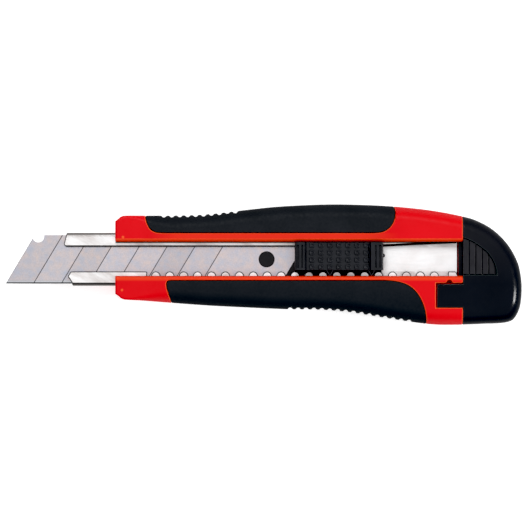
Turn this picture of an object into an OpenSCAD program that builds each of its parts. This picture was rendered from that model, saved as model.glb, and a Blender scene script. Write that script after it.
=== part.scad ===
// Snap-off utility knife with an 18 mm blade and a self-locking thumb slider.
// The knife lies on its back. X runs along it, from the blade's tip at -X to the end cap
// at +X, Y runs across it, and Z goes up from the resting face to the thumb slider.
// The origin is on the resting face, half-way along the handle, on the blade's centre line.
// All sizes are in millimetres.

/* [Blade] */
// Width of the blade, back to cutting edge
blade_w = 18; // [17.8:0.1:18.1]
// Thickness of the blade
blade_t = 0.5; // [0.4:0.05:0.6]
// Length of the blade along its cutting edge
blade_len = 102.1; // [99:0.1:103]
// Angle between the score lines and the cutting edge, in degrees
score_angle = 59; // [58:0.5:61]
// Distance between score lines, along the blade
score_pitch = 10.34; // [10.2:0.02:10.4]
// Number of score lines
score_count = 7; // [5:1:7]
// Width of the ground bevel on each side of the edge
grind_w = 1.15; // [0.8:0.05:1.6]
// Diameter of the hole that the carrier's pin goes through
blade_hole_d = 6; // [5.9:0.05:6.2]

/* [Channel] */
// Thickness of the channel's sheet steel
sheet_t = 0.7; // [0.6:0.05:0.75]
// Width of the channel, outside
channel_w = 19.6; // [19.55:0.05:19.7]
// Height of the channel, outside
channel_h = 3.5; // [3.5:0.05:3.6]
// Distance between the lock teeth
tooth_pitch = 5.17; // [5.15:0.01:5.18]
// Number of lock teeth
tooth_count = 21; // [19:1:21]

/* [Handle] */
// Thickness of the handle
handle_t = 15; // [14.6:0.1:15.6]
// How far the rounding of the long edges reaches in from the outline
edge_round = 4.5; // [3.8:0.1:4.8]
// Height of that rounding on the slider's side
front_round = 6; // [5:0.1:6.4]
// Height of that rounding on the resting side
back_round = 4.5; // [4:0.1:5]
// Thickness of the soft grips
grip_t = 1.5; // [1.3:0.1:1.7]
// Wall thickness of the end cap
cap_wall = 2.2; // [2:0.1:2.4]

/* [Slider] */
// Height of the thumb slider's middle above the handle's front face
slider_proud = 0.8; // [0.4:0.1:1.4]
// Columns of studs on the thumb slider
stud_columns = 7; // [5:1:7]
// Rows of studs on the thumb slider
stud_rows = 4; // [3:1:4]
// Diameter of a stud
stud_d = 2; // [1.6:0.1:2.2]

/* [Hidden] */
$fn = 48;

red = [0.86, 0.06, 0.07];
grip_black = [0.09, 0.1, 0.11];
gloss_black = [0.03, 0.03, 0.035];
slider_black = [0.12, 0.12, 0.13];
steel = [0.78, 0.78, 0.79];
blade_steel = [0.66, 0.65, 0.67];

overcut = 1;       // how far a cutter runs past what it cuts
fit_gap = 0.15;    // clearance between parts that slide
seat_gap = 0.1;    // clearance between parts that are fixed together

// Places along the knife
nose_x = -75.2;    // front end of the handle
split_x = 53.6;    // where the end cap meets the housing
tail_x = 75.65;    // rear end of the end cap
tip_x = -116;      // tip of the blade, as it stands with three segments out
pin_x = -19.1;     // the carrier's pin
slider_x0 = -8.7;  // front end of the thumb slider
slider_x1 = 24.1;  // rear end of the thumb slider
carrier_x1 = 23.6; // rear end of the carrier

// Heights
channel_z = 6.6;
back_plate_top = channel_z + sheet_t;
channel_top = channel_z + channel_h;
lip_z = channel_top - sheet_t;
carrier_z = back_plate_top + fit_gap;
blade_z = lip_z - 0.2 - blade_t;
blade_seat_z = blade_z - 0.1;
carrier_top = lip_z - fit_gap;
slider_z = channel_top + fit_gap;
slider_top = handle_t + slider_proud;

// Across the knife
slot_up = 6.6;     // slot wall on the +Y side
slot_down = -6.16; // slot wall on the -Y side
lip_up = 4.67;     // edge of the channel's plain lip
lip_down = -4.53;  // edge of the channel's toothed lip, and the tops of its teeth
tooth_root = -6.9;
tooth_r = 1.7;
first_tooth_x = -60.25;
teeth_x0 = first_tooth_x - 3.25;                                 // toothed stretch, front end
teeth_x1 = first_tooth_x + (tooth_count - 1) * tooth_pitch + 5.1; // toothed stretch, rear end

// Leans a point at height y on the blade's centre line back to the score lines' slope
function lean(y) = y / tan(score_angle);

// ---------- the handle's outer form ----------

// Outline of the handle and the end cap together: the +Y side, from the nose to the tail. The
// first and last points of both lists only give the direction.
upper_line = [[-76.5, 13.1], [nose_x, 14.1], [-73.9, 15.1], [-72.3, 16.1], [-66, 16.2],
    [-54, 16.25], [-43, 16.6], [-33, 17.6], [-18, 19.3], [-7, 20], [4, 20.4],
    [15, 20.25], [27, 19.7], [41, 18.3], [split_x, 16], [60, 13.9], [66, 10.2],
    [71.2, 4.5], [74.6, -2.5], [tail_x, -9.6], [tail_x, -11]];
// The -Y side, with a point at the same place in the list for each point above
lower_line = [[-76.6, -11.8], [nose_x, -12.8], [-73.8, -13.8], [-72, -14.9], [-66, -15.25],
    [-54, -16.2], [-40, -17.2], [-25, -17.95], [-11, -18.55], [0, -18.7], [11.5, -19.6],
    [23.4, -21.5], [35.2, -23.3], [44, -24.25], [split_x, -24.25], [62, -23.9],
    [68.5, -23.6], [72.6, -22.2], [75, -17.5], [tail_x, -11.6], [tail_x, -9]];
skin_point = 4;         // the point in both lists where the soft grips' bed begins
split_point = 14;       // the point in both lists where the end cap begins
tail_point = 19;        // the point in both lists at the tail
nose_round_end = -72;   // the nose has tight edges up to here
grip_round_start = -54; // and the full rounding from here on
nose_round = 0.8;
outline_steps = 2;      // stations for each point of the outline
arc_steps = 5;          // stations around each rounded edge

// A point on the smooth curve between b and c, with a and d as their neighbours
function curve_point(a, b, c, d, t) = 0.5 * (2 * b + (c - a) * t
    + (2 * a - 5 * b + 4 * c - d) * t * t + (3 * b - a - 3 * c + d) * t * t * t);
// The smooth curve through a list of points; its first and last points only give the direction
function curve(p, from, to, steps) = [for (i = [from : to - 1], k = [0 : steps - 1])
    curve_point(p[i - 1], p[i], p[i + 1], p[i + 2], k / steps), p[to]];

function smooth(t) = let (u = min(1, max(0, t))) u * u * (3 - 2 * u);
function rounding(x, full) = nose_round
    + (full - nose_round) * smooth((x - nose_round_end) / (grip_round_start - nose_round_end));

// Direction from an outline point into the handle: straight back from the flat nose, straight
// across on the handle's long sides, and square to the outline elsewhere
function inward(line, i, side) =
    let (p = line[i], a = line[max(0, i - 1)], b = line[min(len(line) - 1, i + 1)])
    let (along = (b - a) / norm(b - a), square_in = side * [along.y, -along.x])
    i == 0 && p.x == nose_x ? [1, 0] :
    p.x > nose_round_end && p.x <= split_x ? [0, -side] : square_in;

// The column of points up the side of the handle at one station
function column(line, i, side) =
    let (p = line[i], d = inward(line, i, side), a = rounding(p.x, edge_round),
        b = rounding(p.x, back_round), f = rounding(p.x, front_round))
    [for (k = [0 : arc_steps]) let (t = 90 * k / arc_steps, q = p + d * a * (1 - sin(t)))
        [q.x, q.y, b * (1 - cos(t))],
    for (k = [0 : arc_steps]) let (t = 90 * k / arc_steps, q = p + d * a * (1 - cos(t)))
        [q.x, q.y, handle_t - f * (1 - sin(t))]];

// The rounded solid between two points of the outline
module form(from, to) {
    up = curve(upper_line, from, to, outline_steps);
    down = curve(lower_line, from, to, outline_steps);
    rows = len(up);
    rise = 2 * (arc_steps + 1);
    ring = 2 * rise;
    columns_up = [for (i = [0 : rows - 1]) column(up, i, 1)];
    columns_down = [for (i = [0 : rows - 1]) column(down, i, -1)];
    points = [for (i = [0 : rows - 1]) each concat(columns_up[i],
        [for (k = [rise - 1 : -1 : 0]) columns_down[i][k]])];
    sides = [for (i = [0 : rows - 2], j = [0 : ring - 1])
        let (n = (j + 1) % ring, a = i * ring, b = a + ring)
        each [[a + j, b + n, a + n], [a + j, b + j, b + n]]];
    last = (rows - 1) * ring;
    ends = [for (k = [0 : rise - 2]) let (m = ring - 1 - k) each
        [[k, k + 1, m], [k + 1, m - 1, m],
         [last + k, last + m, last + k + 1], [last + k + 1, last + m, last + m - 1]]];
    polyhedron(points, concat(sides, ends), convexity = 6);
}

// A straight-sided layer inside the handle, set in from the outline between two of its points
module layer(from, to, inset, z0, z1) {
    up = curve(upper_line, from, to, outline_steps);
    down = curve(lower_line, from, to, outline_steps);
    n = len(up) - 1;
    translate([0, 0, z0])
        linear_extrude(z1 - z0)
            polygon([for (i = [0 : n]) up[i] + inset * inward(up, i, 1),
                for (i = [n : -1 : 0]) down[i] + inset * inward(down, i, -1)]);
}

// What lies under a skin of thickness t: a wide layer at mid height within a narrower, taller one
bed_inset = 0.2;        // how far the wide layer lies inside the skin's thickness
bed_step = 1.5;         // and the tall layer inside the wide one
bed_drop = 1.2;         // the wide layer begins this much below the top of the back rounding
bed_rise = 2;           // and ends this much above the foot of the front rounding
module under_skin(from, to, t) {
    layer(from, to, t + bed_inset, back_round - bed_drop, handle_t - front_round + bed_rise);
    layer(from, to, t + bed_inset + bed_step, t, handle_t - t);
}

// Height of the outline's side at x
function edge_y(line, x) = lookup(x, curve(line, skin_point, split_point, outline_steps));

// ---------- the soft grips ----------

// Edge of each grip at its front and its rear; between them the edge is straight. The first
// and last points of each list only give the direction.
upper_grip_front = [[-64.1, 26], [-64.1, 21], [-64.1, 16.5], [-63.6, 13.6], [-62.3, 11.2],
    [-60.3, 10], [-57.5, 9.7], [-54, 9.7]];
upper_grip_rear = [[17, 9.7], [20.5, 9.7], [23.8, 10.1], [26.4, 11.6], [28.1, 14.2],
    [28.6, 17.2], [28.2, 19.6], [27.6, 23], [27, 26]];
lower_grip_front = [[-53.6, -26], [-53.8, -21], [-54.5, -16], [-55.6, -12.6], [-56.3, -9.7],
    [-55.9, -8.1], [-54.4, -7.7], [-52, -7.7]];
lower_grip_rear = [[21, -7.7], [24.5, -7.7], [29.4, -8.2], [33.6, -9.7], [36.8, -12.6],
    [39, -16.8], [40, -21], [40.2, -26], [40.2, -31]];

// Prism through the whole handle over one soft grip
module grip_prism(front, rear) {
    steps = 3;
    translate([0, 0, -overcut])
        linear_extrude(handle_t + 2 * overcut)
            polygon(concat(curve(front, 1, len(front) - 2, steps),
                curve(rear, 1, len(rear) - 2, steps)));
}

// The skin of the handle over one soft grip
module grip_skin(front, rear) {
    difference() {
        grip_prism(front, rear);
        under_skin(skin_point, split_point, grip_t);
    }
}

// Finger scallops cut across a grip's edge
scallop_pitch = 2.942;
scallop_r = 0.95;
scallop_out = 0.25;     // how far outside the edge their centres lie
module scallops(line, side, x0, count) {
    for (i = [0 : count - 1])
        let (x = x0 + scallop_pitch * i)
            translate([x, edge_y(line, x) + side * scallop_out, -overcut])
                cylinder(r = scallop_r, h = handle_t + 2 * overcut);
}

module upper_grip() {
    color(grip_black)
        difference() {
            intersection() {
                form(1, split_point);
                grip_skin(upper_grip_front, upper_grip_rear);
            }
            scallops(upper_line, 1, -57.25, 10);
        }
}

module lower_grip() {
    color(grip_black)
        difference() {
            intersection() {
                form(1, split_point);
                grip_skin(lower_grip_front, lower_grip_rear);
            }
            scallops(lower_line, -1, -10.35, 16);
        }
}

// ---------- the housing ----------

// Recess on the housing's front face that the end cap's tongue lies in
tongue_x = 44.1;
tongue_up = -9.2;
tongue_down = -17.85;
tongue_t = 2.3;
tongue_gap = 0.5;     // open gap at the tongue's tip and along its +Y edge
tongue_notch_x = 48.6;
tongue_notch_r = 1.1;

module tongue_recess() {
    translate([tongue_x - tongue_gap, tongue_down - seat_gap, handle_t - tongue_t - fit_gap])
        cube([split_x - tongue_x + tongue_gap + overcut,
            tongue_up - tongue_down + tongue_gap + seat_gap, tongue_t + fit_gap + overcut]);
    translate([tongue_notch_x, tongue_up + tongue_gap, handle_t - tongue_t])
        cylinder(r = tongue_notch_r, h = tongue_t + overcut);
}

// Slot along the whole housing: a pocket for the channel, and a mouth whose edges are chamfered
mouth_up = [0.8, 1.1];     // width and height of the chamfer on the +Y side
mouth_down = [0.5, 0.7];   // and on the -Y side
module channel_slot() {
    half = channel_w / 2 + seat_gap;
    roof = channel_top + seat_gap;
    top = handle_t + overcut;
    translate([nose_x - overcut, 0, 0])
        rotate([90, 0, 90])
            linear_extrude(split_x - nose_x + 2 * overcut)
                polygon([[-half, channel_z - seat_gap], [half, channel_z - seat_gap],
                    [half, roof], [slot_up, roof],
                    [slot_up, handle_t - mouth_up[1]], [slot_up + mouth_up[0], handle_t],
                    [slot_up + mouth_up[0], top], [slot_down - mouth_down[0], top],
                    [slot_down - mouth_down[0], handle_t],
                    [slot_down, handle_t - mouth_down[1]], [slot_down, roof], [-half, roof]]);
}

// Coring that is open at the rear, where the end cap's prongs plug in
back_core = [-8.5, 8.5, 2.2, 5.2];     // y0, y1, z0, z1
lower_core = [-19.6, -12, 3, 10.4];
upper_core = [11.8, 13.6, 3.4, 11];
lower_core_x = 12;
upper_core_x = -24;
back_core_x = -58;

module core(x0, c) {
    translate([x0, c[0], c[2]])
        cube([split_x + overcut - x0, c[1] - c[0], c[3] - c[2]]);
}

module lower_coring() {
    // follows the outline, which closes in towards the front
    translate([0, 0, lower_core[2]])
        linear_extrude(lower_core[3] - lower_core[2])
            polygon([[lower_core_x, lower_core[1]], [lower_core_x, -14.6], [30, -17.6],
                [42, lower_core[0]], [split_x + overcut, lower_core[0]],
                [split_x + overcut, lower_core[1]]]);
}

module housing() {
    color(red)
        difference() {
            form(1, split_point);
            channel_slot();
            core(back_core_x, back_core);
            core(upper_core_x, upper_core);
            lower_coring();
            tongue_recess();
            grip_skin(upper_grip_front, upper_grip_rear);
            grip_skin(lower_grip_front, lower_grip_rear);
        }
}

// ---------- the steel channel ----------

channel_front = -96;
channel_rear = 51.9;

module rounded_bar(w, h, r) {
    square([w - 2 * r, h], center = true);
    square([w, h - 2 * r], center = true);
    for (x = [-1, 1], y = [-1, 1])
        translate([x * (w / 2 - r), y * (h / 2 - r)])
            circle(r);
}

module channel_tube() {
    bend_r = 1.1;
    translate([channel_front, 0, channel_z + channel_h / 2])
        rotate([90, 0, 90])
            linear_extrude(channel_rear - channel_front)
                difference() {
                    rounded_bar(channel_w, channel_h, bend_r);
                    rounded_bar(channel_w - 2 * sheet_t, channel_h - 2 * sheet_t, bend_r - sheet_t);
                }
}

// Everything that is cut out of the front of the channel, between its two lips
module lip_opening() {
    lip_taper_x = slider_x1;   // the plain lip narrows from here back, to let the slider in
    translate([0, 0, lip_z - fit_gap])
        linear_extrude(sheet_t + 2 * fit_gap)
            polygon([[channel_front - overcut, lip_up], [lip_taper_x, lip_up], [51.4, 6],
                [channel_rear, 7.5], [channel_rear + overcut, 7.5], [channel_rear + overcut, -6.1],
                [channel_rear, -6.1], [51.2, lip_down], [teeth_x1, lip_down], [teeth_x1, tooth_root],
                [teeth_x0, tooth_root], [teeth_x0, lip_down], [channel_front - overcut, lip_down]]);
}

module lock_teeth() {
    root_overlap = 0.2;
    for (i = [0 : tooth_count - 1])
        translate([first_tooth_x + tooth_pitch * i, lip_down - tooth_r, lip_z]) {
            cylinder(r = tooth_r, h = sheet_t);
            translate([-tooth_r, tooth_root - root_overlap - lip_down + tooth_r, 0])
                cube([2 * tooth_r, lip_down - tooth_r - tooth_root + root_overlap, sheet_t]);
        }
}

// Waste in front of the channel's pointed nose
module nose_waste() {
    half = channel_w / 2 + overcut;
    translate([0, 0, channel_z - overcut])
        linear_extrude(channel_h + 2 * overcut)
            polygon([[channel_front - overcut, half], [-93, half], [-93.3, 9.8], [-94.4, 5.6],
                [-93.6, lip_up], [-91.8, lip_down], [-92.9, -6.3], [-91.4, -8.6], [-91.1, -9.8],
                [-91, -half], [channel_front - overcut, -half]]);
}

module blade_channel() {
    color(steel)
        difference() {
            union() {
                difference() {
                    channel_tube();
                    lip_opening();
                }
                lock_teeth();
            }
            nose_waste();
        }
}

// ---------- the blade ----------

rear_x = tip_x + blade_len + lean(blade_w / 2); // the slanted rear end, on the centre line
front_mid_x = tip_x + lean(blade_w / 2);        // the slanted front end, on the centre line
first_segment = 10.3;

module blade_blank() {
    half = blade_w / 2;
    translate([0, 0, blade_z])
        linear_extrude(blade_t)
            polygon([[tip_x, -half], [tip_x + blade_len, -half],
                [rear_x + lean(half), half], [front_mid_x + lean(half), half]]);
}

// A score line, pressed into both faces
module score(x) {
    score_w = 0.24;
    score_depth = 0.1;
    length = 2 * blade_w;
    for (z = [blade_z - overcut, blade_z + blade_t - score_depth])
        translate([x, 0, z])
            rotate(score_angle)
                translate([-length / 2, -score_w / 2, 0])
                    cube([length, score_w, overcut + score_depth]);
}

// The wedge of steel that grinding takes off each face at the edge
module grinding() {
    land = 0.04;    // thickness left at the very edge
    edge = -blade_w / 2;
    mid = blade_z + blade_t / 2;
    for (side = [-1, 1])
        translate([tip_x - overcut, 0, mid])
            rotate([90, 0, 90])
                linear_extrude(blade_len + 2 * overcut)
                    polygon([[edge - overcut, side * land / 2], [edge, side * land / 2],
                        [edge + grind_w, side * blade_t / 2], [edge + grind_w, side * blade_t],
                        [edge - overcut, side * blade_t]]);
}

module blade() {
    tip_notch = [-103.9, 8.5];
    tip_notch_r = 2.2;
    color(blade_steel)
        difference() {
            blade_blank();
            for (i = [0 : score_count - 1])
                score(front_mid_x + first_segment + score_pitch * i);
            grinding();
            translate([pin_x, 0, blade_z - overcut])
                cylinder(d = blade_hole_d, h = blade_t + 2 * overcut);
            translate([tip_notch.x, tip_notch.y, blade_z - overcut])
                cylinder(r = tip_notch_r, h = blade_t + 2 * overcut);
        }
}

// ---------- the slider: carrier, lock spring and thumb piece ----------

neck_up = lip_up - 0.25;
neck_down = lip_down + 0.25;
neck_x0 = slider_x0 + 0.6;
peg_x = [-3, 13];
peg_y = 0.8;
peg_r = 1.6;
peg_h = 2.4;
carrier_half = 8.9;
pin_d = blade_hole_d - 0.3;

// Leaf spring on edge beside the neck. Its two bends reach into gaps between lock teeth.
front_gap_x = first_tooth_x + 12.5 * tooth_pitch;
rear_gap_x = first_tooth_x + 15.5 * tooth_pitch;
bend_half = 1.35;
leaf_t = 0.4;
leaf_y = -3.75;
leaf_x0 = -6.6;
leaf_x1 = rear_gap_x + 2.8;
bend_y = -6.05;
bay_x0 = -4.4;            // the bay in the neck that the spring flexes into
bay_x1 = rear_gap_x + bend_half + 0.1;
bay_y = -1.5;

module blade_carrier() {
    behind_blade = 0.1;   // clearance at the blade's rear end
    tongue_half = 4.6;
    slit = leaf_t + 0.1;
    body_x = rear_x + behind_blade;
    color(slider_black)
        difference() {
            union() {
                // tongue behind the blade, with a round nose under the pin
                translate([0, 0, carrier_z])
                    linear_extrude(blade_seat_z - carrier_z) {
                        translate([pin_x, 0])
                            circle(tongue_half);
                        translate([pin_x, -tongue_half])
                            square([carrier_x1 - pin_x - overcut, 2 * tongue_half]);
                    }
                translate([pin_x, 0, carrier_z])
                    cylinder(d = pin_d, h = carrier_top - carrier_z);
                // full-height body behind the blade's slanted end
                translate([0, 0, carrier_z])
                    linear_extrude(carrier_top - carrier_z)
                        polygon([[body_x - lean(carrier_half), -carrier_half],
                            [carrier_x1, -carrier_half], [carrier_x1, carrier_half],
                            [body_x + lean(carrier_half), carrier_half]]);
                // neck between the channel's lips, and the pegs that hold the thumb piece
                translate([0, 0, carrier_z])
                    linear_extrude(slider_z - carrier_z)
                        polygon([[neck_x0, neck_down], [carrier_x1, neck_down],
                            [carrier_x1, neck_up], [body_x + lean(neck_up), neck_up],
                            [neck_x0, (neck_x0 - body_x) * tan(score_angle)]]);
                for (x = peg_x)
                    translate([x, peg_y, carrier_z])
                        cylinder(r = peg_r, h = slider_z - carrier_z + peg_h);
            }
            // bay behind the spring, and the two slits that hold the spring's ends
            translate([bay_x0, neck_down - overcut, carrier_top])
                cube([bay_x1 - bay_x0, bay_y - neck_down + overcut, slider_z - carrier_top + overcut]);
            translate([leaf_x0 - 0.3, leaf_y - slit / 2, carrier_top])
                cube([leaf_x1 - leaf_x0 + 0.6, slit, slider_z - carrier_top + overcut]);
        }
}

module leaf_bar(a, b) {
    translate(a)
        rotate(atan2(b.y - a.y, b.x - a.x))
            translate([0, -leaf_t / 2])
                square([norm(b - a), leaf_t]);
    for (p = [a, b])
        translate(p)
            circle(d = leaf_t);
}

module lock_spring() {
    path = [[leaf_x0, leaf_y], [front_gap_x - bend_half, leaf_y], [front_gap_x, bend_y],
        [front_gap_x + bend_half, leaf_y], [rear_gap_x - bend_half, leaf_y], [rear_gap_x, bend_y],
        [rear_gap_x + bend_half, leaf_y], [leaf_x1, leaf_y]];
    color(steel)
        translate([0, 0, carrier_top + 0.05])
            linear_extrude(slider_z - carrier_top - 0.1)
                for (i = [0 : len(path) - 2])
                    leaf_bar(path[i], path[i + 1]);
}

slider_down = -4.05;
slider_up = slot_up - 0.25;
end_block_h = 0.9;        // the slider's two end blocks stand this much above its middle
front_block_w = 4;
rear_block_w = 5;
block_lean = 0.4;         // the blocks' inner faces lean by this much
end_ease = 1;

// Side view of the thumb piece: a low middle between two end blocks
module slider_profile() {
    in0 = slider_x0 + front_block_w;
    in1 = slider_x1 - rear_block_w;
    high = slider_top + end_block_h;
    polygon([[slider_x0, slider_z], [slider_x1, slider_z], [slider_x1, high - end_ease],
        [slider_x1 - end_ease, high], [in1 + block_lean, high], [in1, slider_top], [in0, slider_top],
        [in0 - block_lean, high], [slider_x0 + end_ease, high], [slider_x0, high - end_ease]]);
}

module studs() {
    stud_h = 0.45;
    column_pitch = 3.35;
    row_pitch = 2.7;
    middle = [(slider_x0 + slider_x1) / 2, (slider_up + slider_down) / 2];
    for (i = [0 : stud_columns - 1], j = [0 : stud_rows - 1])
        translate([middle.x + column_pitch * (i - (stud_columns - 1) / 2),
            middle.y + row_pitch * (j - (stud_rows - 1) / 2), slider_top - stud_h])
            cylinder(d = stud_d, h = 2 * stud_h);
}

module thumb_slider() {
    groove_depth = 0.9;
    groove_y = slider_down + 0.95;
    groove_len = slider_up - slider_down - 2;
    color(slider_black)
        difference() {
            union() {
                translate([0, slider_up, 0])
                    rotate([90, 0, 0])
                        linear_extrude(slider_up - slider_down)
                            slider_profile();
                studs();
                // small sprue mark on the rear end
                translate([slider_x1, 1.4, slider_top - 2])
                    sphere(r = 0.75);
            }
            // two grooves in each end block, a wide outer one and a narrow inner one
            for (groove = [[slider_x0 + 0.75, 0.8], [slider_x0 + 2.5, 0.5],
                [slider_x1 - 1.55, 0.8], [slider_x1 - 3, 0.5]])
                translate([groove[0], groove_y, slider_top + end_block_h - groove_depth])
                    cube([groove[1], groove_len, groove_depth + overcut]);
            // sockets for the carrier's pegs
            for (x = peg_x)
                translate([x, peg_y, slider_z - overcut])
                    cylinder(r = peg_r + 0.05, h = overcut + peg_h + 0.1);
        }
}

// ---------- the end cap ----------

cap_x = split_x + 0.15;
prong_reach = 7;          // how far the prongs go into the housing
rib_pitch = 2.42;
rib_w = 2.05;
rib_count = 5;
pocket_depth = 1.6;
rib_h = 1.15;
pocket_line = [[50, 8.4], [52.4, 8.4], [56.2, 7.2], [60, 4.9], [63.2, 2.1], [65.3, -1.4],
    [66.3, -4.9], [66.3, -5.8], [52.4, -5.8], [50, -6]];

// Outline of the ribbed thumb pocket on the cap's front
module pocket_outline() {
    arc = curve(pocket_line, 1, 6, 4);
    polygon(concat(arc, [pocket_line[7], pocket_line[8]]));
}

module thumb_ribs() {
    intersection() {
        translate([0, 0, handle_t - pocket_depth - overcut])
            linear_extrude(pocket_depth + overcut)
                pocket_outline();
        for (i = [0 : rib_count - 1])
            translate([cap_x + rib_pitch * i, slot_down - overcut, handle_t - pocket_depth - overcut / 2])
                cube([rib_w, slot_up - slot_down + 3 * overcut, rib_h + overcut / 2]);
    }
}

// Outline of the hollow inside the cap
cap_hollow = [[split_x - overcut, 13.4], [59, 11.2], [64.3, 7.8], [69, 2], [72.1, -4.2],
    [73, -10], [72.4, -17], [70.8, -19.8], [68, -20.6], [62, -21.1], [split_x - overcut, -21.6]];

// Keeps what is behind the joint face
module behind_split() {
    intersection() {
        children();
        translate([cap_x, -50, -overcut])
            cube([50, 100, handle_t + 2 * overcut]);
    }
}

// Box inside the cap or the housing, from x0 to x1, over y0 to y1 and z0 to z1
module block(x0, x1, y0, y1, z0, z1) {
    translate([x0, y0, z0])
        cube([x1 - x0, y1 - y0, z1 - z0]);
}

module end_cap() {
    tab_x = 52.1;         // front of the tab that enters the channel's rear mouth
    backing_t = 3.8;      // solid behind the ribs
    backing_len = 15;
    root_len = 12;        // how far the prongs' roots run back inside the cap
    root_z = cap_wall / 2;
    web_t = 3;
    inside = split_x - overcut;
    color(gloss_black)
        union() {
            difference() {
                behind_split()
                    form(split_point, tail_point);
                difference() {
                    translate([0, 0, cap_wall])
                        linear_extrude(handle_t - 2 * cap_wall)
                            polygon(cap_hollow);
                    // what stays solid inside: the ribs' backing, and the prongs' roots
                    block(inside, inside + backing_len, slot_down - 2, slot_up + 2,
                        handle_t - backing_t, handle_t);
                    for (c = [back_core, lower_core])
                        block(inside, split_x + root_len, c[0] + fit_gap, c[1] - fit_gap,
                            root_z, c[3] - fit_gap);
                    block(inside, cap_x + web_t, -carrier_half, carrier_half, root_z, carrier_top);
                }
                translate([0, 0, handle_t - pocket_depth])
                    linear_extrude(pocket_depth + overcut)
                        pocket_outline();
            }
            thumb_ribs();
            // prongs that plug into the housing's coring
            for (c = [back_core, lower_core])
                block(split_x - prong_reach, cap_x + overcut, c[0] + fit_gap, c[1] - fit_gap,
                    c[2] + fit_gap, c[3] - fit_gap);
            block(tab_x, cap_x + overcut, -carrier_half, carrier_half, carrier_z, carrier_top);
            // tongue that lies in the housing's front face
            block(tongue_x, cap_x + overcut, tongue_down, tongue_up, handle_t - tongue_t, handle_t);
        }
}

housing();
upper_grip();
lower_grip();
blade_channel();
blade();
blade_carrier();
thumb_slider();
lock_spring();
end_cap();
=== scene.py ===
"""Snap-off utility knife: the looks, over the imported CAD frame.

The frame's X runs from the blade's tip to the end cap, Y across the knife and Z up from the
face that it lies on. The outlines below are in millimetres, as in the CAD model, and each mesh
is scaled to metres once it is made.
"""

import math

import bmesh
import bpy
from mathutils import Matrix, Vector


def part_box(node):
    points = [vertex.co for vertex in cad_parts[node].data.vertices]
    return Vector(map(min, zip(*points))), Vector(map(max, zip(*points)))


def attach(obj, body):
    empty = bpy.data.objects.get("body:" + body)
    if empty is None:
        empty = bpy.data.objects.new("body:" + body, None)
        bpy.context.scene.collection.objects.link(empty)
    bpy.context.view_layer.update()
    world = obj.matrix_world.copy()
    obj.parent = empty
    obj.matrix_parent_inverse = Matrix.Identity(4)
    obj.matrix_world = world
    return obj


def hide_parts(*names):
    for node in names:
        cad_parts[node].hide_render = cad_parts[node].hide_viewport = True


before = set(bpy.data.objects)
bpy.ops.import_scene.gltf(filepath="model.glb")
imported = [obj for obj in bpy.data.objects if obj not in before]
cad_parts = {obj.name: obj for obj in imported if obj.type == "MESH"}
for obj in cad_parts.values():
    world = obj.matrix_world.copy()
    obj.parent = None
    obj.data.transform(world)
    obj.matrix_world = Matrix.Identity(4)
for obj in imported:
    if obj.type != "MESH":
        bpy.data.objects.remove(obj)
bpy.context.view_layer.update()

MM = 0.001
SAME_PLACE = 0.01  # two measures that differ by less than this are the same


def span(node, axis):
    """The lowest and highest millimetre of a CAD node along one axis."""
    low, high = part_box(node)
    return low[axis] / MM, high[axis] / MM


NOSE_X, SPLIT_X = span("housing", 0)
TAIL_X = span("end_cap", 0)[1]
TIP_X = span("blade", 0)[0]
SLIDER_X0, SLIDER_TAIL = span("thumb_slider", 0)
SLIDER_DOWN, SLIDER_UP = span("thumb_slider", 1)
SLIDER_Z, SLIDER_HIGH = span("thumb_slider", 2)
CHANNEL_Z, CHANNEL_TOP = span("blade_channel", 2)
CHANNEL_HALF = span("blade_channel", 1)[1]
CHANNEL_REAR = span("blade_channel", 0)[1]
HANDLE_T = span("housing", 2)[1]
Y_LOW, Y_HIGH = span("housing", 1)[0], span("upper_grip", 1)[1]

# ---------- the handle's outline, as in the CAD model ----------

UPPER_LINE = [
    (-76.5, 13.1), (NOSE_X, 14.1), (-73.9, 15.1), (-72.3, 16.1), (-66, 16.2), (-54, 16.25),
    (-43, 16.6), (-33, 17.6), (-18, 19.3), (-7, 20), (4, 20.4), (15, 20.25),
    (27, 19.7), (41, 18.3), (SPLIT_X, 16), (60, 13.9), (66, 10.2), (71.2, 4.5),
    (74.6, -2.5), (TAIL_X, -9.6), (TAIL_X, -11),
]
LOWER_LINE = [
    (-76.6, -11.8), (NOSE_X, -12.8), (-73.8, -13.8), (-72, -14.9), (-66, -15.25), (-54, -16.2),
    (-40, -17.2), (-25, -17.95), (-11, -18.55), (0, -18.7), (11.5, -19.6), (23.4, -21.5),
    (35.2, -23.3), (44, -24.25), (SPLIT_X, -24.25), (62, -23.9), (68.5, -23.6),
    (72.6, -22.2), (75, -17.5), (TAIL_X, -11.6), (TAIL_X, -9),
]
# the points of both lines where the nose, the soft grips' bed and the end cap start, and the tail
NOSE_POINT, SKIN_POINT, SPLIT_POINT, TAIL_POINT = 1, 4, 14, 19
NOSE_ROUND, NOSE_ROUND_END, GRIP_ROUND_START = 0.8, -72, -54
EDGE_ROUND, FRONT_ROUND, BACK_ROUND = 4.5, 6.0, 4.5
SLOT_UP, SLOT_DOWN = 6.6, -6.16

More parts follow.
